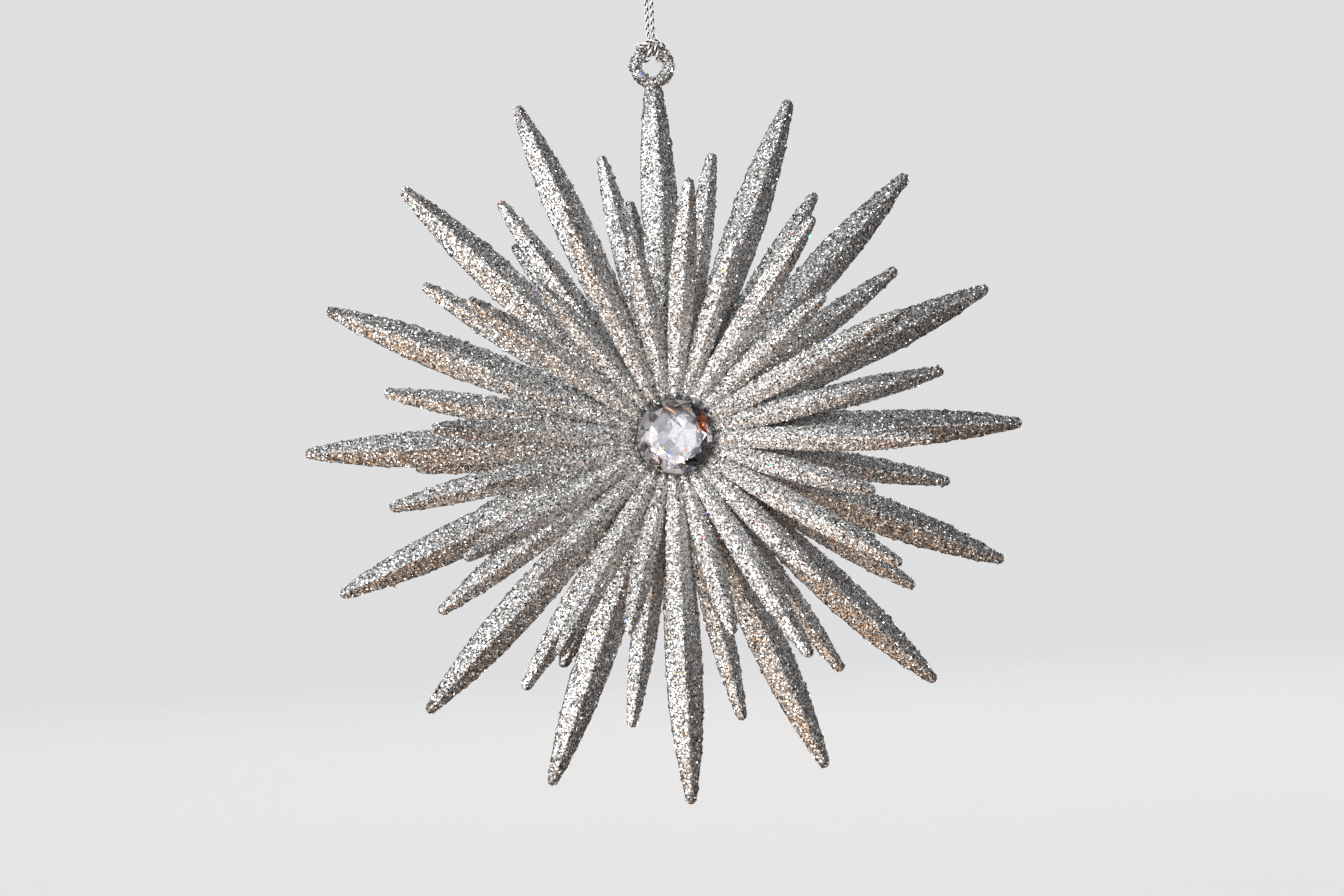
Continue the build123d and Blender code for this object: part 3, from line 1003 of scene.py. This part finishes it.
# far lamps: direction from the star, where the lit disc and its soft rim end in degrees from that,
# brightness, colour; the last one stands behind
FAR_LAMPS = [
    ((-0.80, -0.58, 0.02), 12, 42, 1.2, (1.0, 1.0, 1.0)),
    ((0.20, -0.97, 0.06), 8, 28, 1.25, (0.98, 0.98, 1.0)),
    ((-0.25, -0.45, 0.90), 15, 45, 0.15, (1.0, 1.0, 1.0)),
    ((0.95, -0.30, 0.06), 15, 42, 0.20, (1.0, 0.97, 0.94)),
    ((0.00, -0.40, -0.95), 15, 45, 0.23, WARM),
    ((0.30, 1.00, 0.40), 20, 50, 3.0, (1.0, 1.0, 1.0)),
]
# near lamps: name, direction from the star, distance, size, power, colour
NEAR_LAMPS = [
    ("key", (-0.80, -0.58, -0.02), 0.28, 0.22, 0.76, WHITE),
    ("top", (-0.55, -0.35, 0.80), 0.26, 0.24, 0.20, WHITE),
    ("warm", (-0.45, -0.50, -0.80), 0.26, 0.24, 0.19, WARM),
    ("spark", (0.30, -0.90, 0.30), 0.45, 0.09, 0.46, WHITE),
]


def area_light(name, direction, distance, size, power, colour):
    """A round lamp that faces the star's middle."""
    lamp = bpy.data.lights.new(name, "AREA")
    lamp.shape, lamp.size, lamp.energy, lamp.color = "DISK", size, power, colour
    made = bpy.data.objects.new(name, lamp)
    towards = Vector(direction).normalized()
    made.location = CENTRE + towards * distance
    made.rotation_mode = "QUATERNION"
    made.rotation_quaternion = towards.to_track_quat("Z", "Y")
    made.visible_camera = False
    bpy.context.scene.collection.objects.link(made)
    return made


def floor_light(floor):
    """A soft light from above for the floor alone, as pale as the backdrop."""
    lamp = bpy.data.lights.new("floor_light", "SUN")
    lamp.energy, lamp.angle = FLOOR_LIGHT, math.radians(40)
    made = bpy.data.objects.new("floor_light", lamp)
    bpy.context.scene.collection.objects.link(made)
    only_floor = bpy.data.collections.new("floor_only")
    only_floor.objects.link(floor)
    made.light_linking.receiver_collection = only_floor


def far_light(made):
    """The far lamps as soft discs on the sky of a dim room."""
    towards = made.node("TexCoord").outputs["Generated"]
    light = ROOM
    for direction, edge, rim, power, colour in FAR_LAMPS:
        aim = made.node("VectorMath", operation="DOT_PRODUCT")
        made.join(towards, aim.inputs[0])
        aim.inputs[1].default_value = Vector(direction).normalized()
        start, stop = math.cos(math.radians(rim)), math.cos(math.radians(edge))
        disc = made.remap(aim.outputs["Value"], start, stop, smooth=True)
        light = made.vector("ADD", light, made.scale(tuple(power * part for part in colour), disc))
    return light


def light_stage():
    """Soft lamps, mostly from the left, in a dim room with a pale backdrop."""
    world = bpy.data.worlds.new("studio")
    bpy.context.scene.world = world
    world.use_nodes = True
    made = Nodes.of_tree(world.node_tree)
    camera_sees = made.node("LightPath").outputs["Is Camera Ray"]
    seen = made.blend(camera_sees, far_light(made), (*BACKDROP, 1))
    made.join(seen, made.tree.nodes["Background"].inputs["Color"])
    floor = make_floor()
    not_floor = bpy.data.collections.new("not_the_floor")
    not_floor.objects.link(floor)
    not_floor.collection_objects[0].light_linking.link_state = "EXCLUDE"
    for lamp in NEAR_LAMPS:
        area_light(*lamp).light_linking.receiver_collection = not_floor
    floor_light(floor)


# ---------------------------------------------------------------- build
aim_camera()
cord_material = metallic_cord()
cord, cord_line = make_cord(cord_material)
knot = make_knot(cord_material)
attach(knot, "hanging_loop")
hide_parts("cord_knot")
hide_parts("hanging_cord", "ring_hitch")
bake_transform(cord)

coat, grains, flakes = glitter_coat(), loose_grains(), coloured_flakes()
flat_star = make_flat_star([coat])
front_burst = make_burst("glittered_front_burst", True, [coat])
back_burst = make_burst("glittered_back_burst", False, [coat])
for piece, node in ((flat_star, "centre_star"), (front_burst, "front_burst"), (back_burst, "back_burst")):
    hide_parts(node)
glitter = [
    scatter("grains_on_star", flat_star, 49000, grains, outside_hub),
    scatter("grains_on_front_burst", front_burst, 49000, grains, outside_seat),
    scatter("grains_on_back_burst", back_burst, 36000, grains, outside_seat),
    scatter("more_grains_on_star", flat_star, 49000, grains, outside_hub),
    scatter("edge_grains_on_star", flat_star, 30000, grains, on_edges, sizes=(0.16, 0.27)),
    scatter("edge_grains_on_front_burst", front_burst, 14000, grains, on_edges, sizes=(0.15, 0.25)),
    scatter("edge_grains_on_back_burst", back_burst, 10000, grains, on_edges, sizes=(0.15, 0.25)),
    scatter("grains_on_eye", flat_star, 220000, grains, on_eye, sizes=(0.12, 0.28)),
]
for place, piece, count, keep in (
    ("star", flat_star, 420, outside_hub),
    ("front_burst", front_burst, 420, outside_seat),
    ("back_burst", back_burst, 300, outside_seat),
):
    name = f"coloured_flakes_on_{place}"
    glitter.append(scatter(name, piece, count, flakes, keep, hexagon=True, sizes=(0.17, 0.29)))
for piece in (flat_star, front_burst, back_burst, *glitter):
    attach(piece, "star")

foils = []
# the foil materials: plain silver, painted reflections and painted fire
for name, shade in FOIL_SILVER_AND_PAINTED_REFLECTIONS.items():
    roughness = BRIGHT_ROUGHNESS if name == "bright" else FOIL_ROUGHNESS
    foils.append(mirror_foil(f"mirror_foil_{name}", shade, roughness))
for side in ("front", "back"):
    foil = make_foil(f"{side}_mirror_foil", side == "front", foils)
    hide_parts(f"{side}_foil")
    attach(foil, "star")

glass, glue = cut_glass(), clear_glue()
for side in ("front", "back"):
    for part, material in (("gem", glass), ("gem_glue", glue), ("hub_glue", glue)):
        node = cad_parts[f"{side}_{part}"]
        node.data.materials.clear()
        node.data.materials.append(material)

light_stage()
bpy.context.scene.view_settings.view_transform = "Standard"
